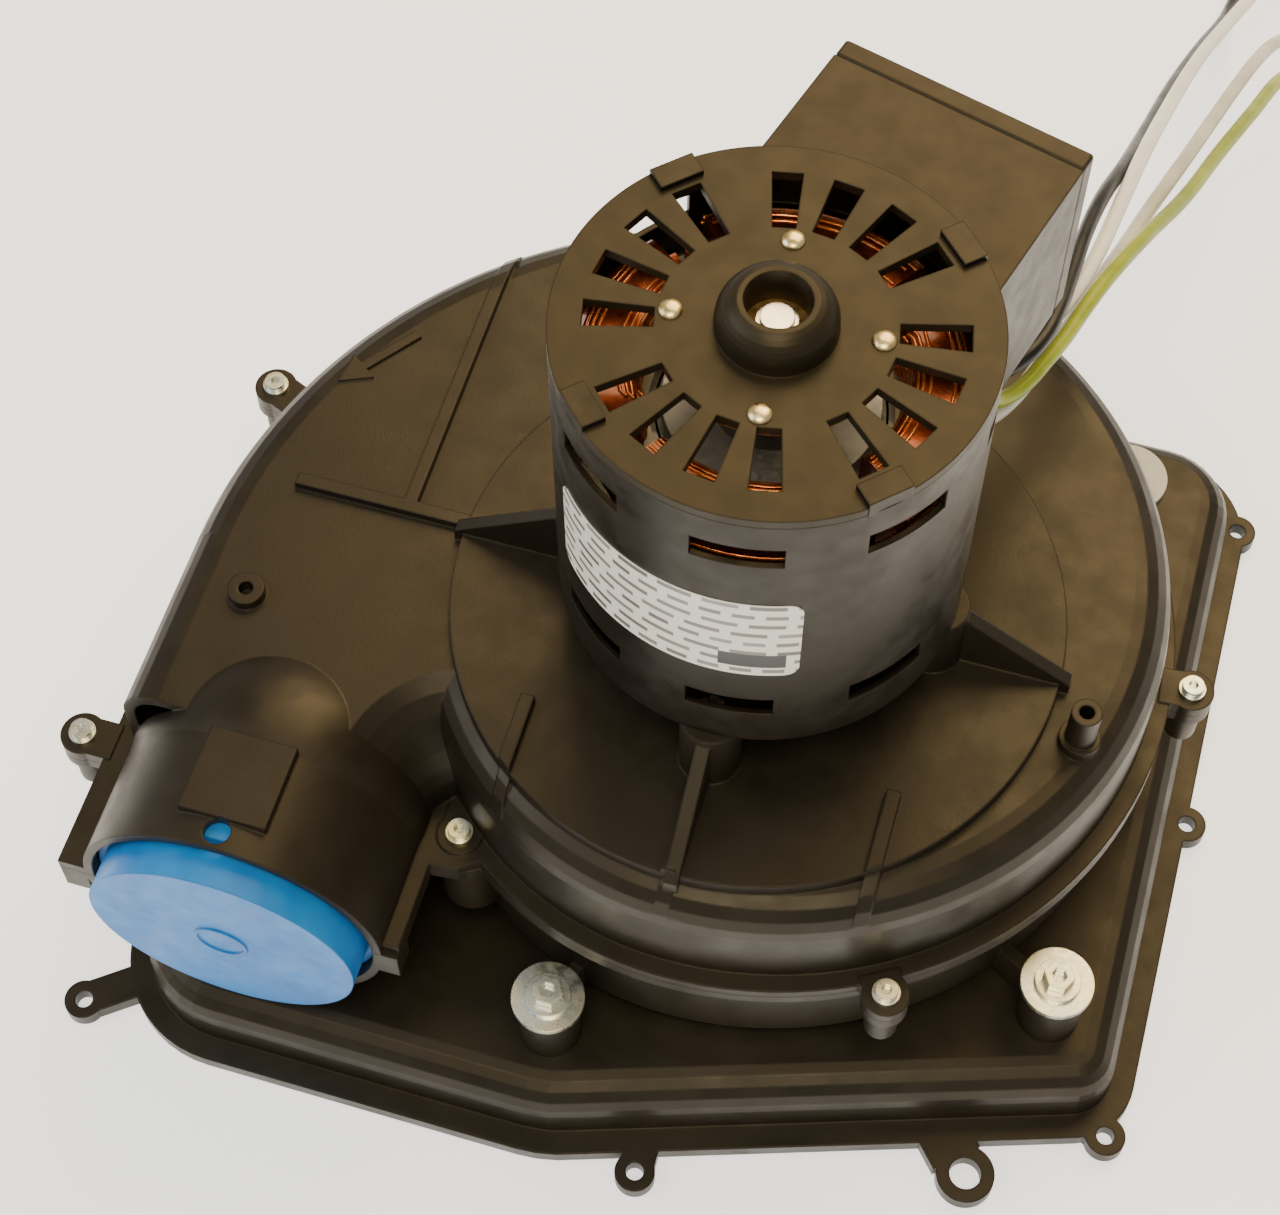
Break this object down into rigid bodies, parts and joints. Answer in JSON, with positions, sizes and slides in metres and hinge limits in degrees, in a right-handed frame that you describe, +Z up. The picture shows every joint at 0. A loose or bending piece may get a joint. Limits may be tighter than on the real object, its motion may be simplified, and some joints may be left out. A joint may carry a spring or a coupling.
{
  "type": "combustion fan",
  "caption": "Furnace combustion fan: a flanged collector box, a plastic scroll housing with an outlet collar and plug, a squirrel-cage wheel and a capacitor motor with loose leads.",
  "frame": {"origin": "where the fan axis meets the plane of the collector box's flange face", "axes": "+Z up the fan axis from the collector box to the motor; -Y the way the outlet collar points; +X to the right seen from the outlet"},
  "size_m": [0.3023, 0.4658, 0.1951],
  "materials": {
    "housing_plastic": "satin moulded polypropylene, black-brown",
    "plug_white": "matte",
    "seal_rubber": "matte black rubber",
    "zinc_steel": "zinc plated",
    "plug_blue": "glossy polyethylene",
    "galvanised": "galvanised sheet",
    "shaft_steel": "ground steel",
    "fan_nylon": "matte",
    "lamination_steel": "varnished laminations",
    "cast_aluminium": "as cast",
    "copper_wire": "enamelled copper wire, varnished",
    "liner_film": "satin polyester film",
    "motor_paint": "satin black-brown paint",
    "rivet_brass": "satin",
    "label_foil": "satin printed film",
    "capacitor_plastic": "satin",
    "lead_black_pvc": "satin",
    "lead_white_pvc": "satin",
    "lead_grey_pvc": "satin",
    "lead_green_pvc": "satin",
    "terminal_nylon": "translucent nylon"
  },
  "bodies": {
    "housing": {"collector_box": "housing_plastic", "lower_housing": "housing_plastic", "upper_housing": "housing_plastic", "box_plug": "plug_white", "inlet_seal": "seal_rubber", "mount_grommets": "seal_rubber", "lead_grommet": "seal_rubber", "inlet_ring": "zinc_steel", "mount_washer_1": "zinc_steel", "mount_washer_2": "zinc_steel", "mount_washer_3": "zinc_steel", "mount_screw_1": "zinc_steel", "mount_screw_2": "zinc_steel", "mount_screw_3": "zinc_steel", "housing_screw_1": "zinc_steel", "housing_screw_2": "zinc_steel", "housing_screw_3": "zinc_steel", "housing_screw_4": "zinc_steel", "housing_screw_5": "zinc_steel", "housing_screw_6": "zinc_steel", "housing_screw_7": "zinc_steel", "motor_screws": "zinc_steel", "stator_core": "lamination_steel", "capacitor": "cast_aluminium", "winding_1": "copper_wire", "winding_2": "copper_wire", "winding_3": "copper_wire", "winding_4": "copper_wire", "slot_liners": "liner_film", "motor_shell": "motor_paint", "end_cap": "motor_paint", "lower_shield": "motor_paint", "end_cap_rivets": "rivet_brass", "upper_bearing": "rivet_brass", "lower_bearing": "rivet_brass", "motor_label": "label_foil", "capacitor_box": "capacitor_plastic", "box_lid": "capacitor_plastic", "lead_black": "lead_black_pvc", "coil_black": "lead_black_pvc", "terminal_black": "terminal_nylon", "lead_white": "lead_white_pvc", "coil_white": "lead_white_pvc", "terminal_white": "terminal_nylon", "lead_grey": "lead_grey_pvc", "coil_grey": "lead_grey_pvc", "terminal_grey": "terminal_nylon", "lead_green": "lead_green_pvc", "coil_green": "lead_green_pvc", "terminal_green": "terminal_nylon"},
    "rotor": {"shaft": "shaft_steel", "rotor_core": "lamination_steel", "rotor_rings": "cast_aluminium", "wheel": "galvanised", "wheel_hub": "galvanised", "cooling_fan": "fan_nylon"},
    "plug": {"outlet_plug": "plug_blue"}
  },
  "joints": [
    {"name": "fan_spin", "type": "hinge", "parent": "housing", "child": "rotor", "pos_m": [0, 0, 0.1], "axis": [0, 0, 1], "continuous": true},
    {"name": "plug_pull", "type": "slide", "parent": "housing", "child": "plug", "axis": [0, -1, 0], "range_m": [0, 0.03]}
  ]
}
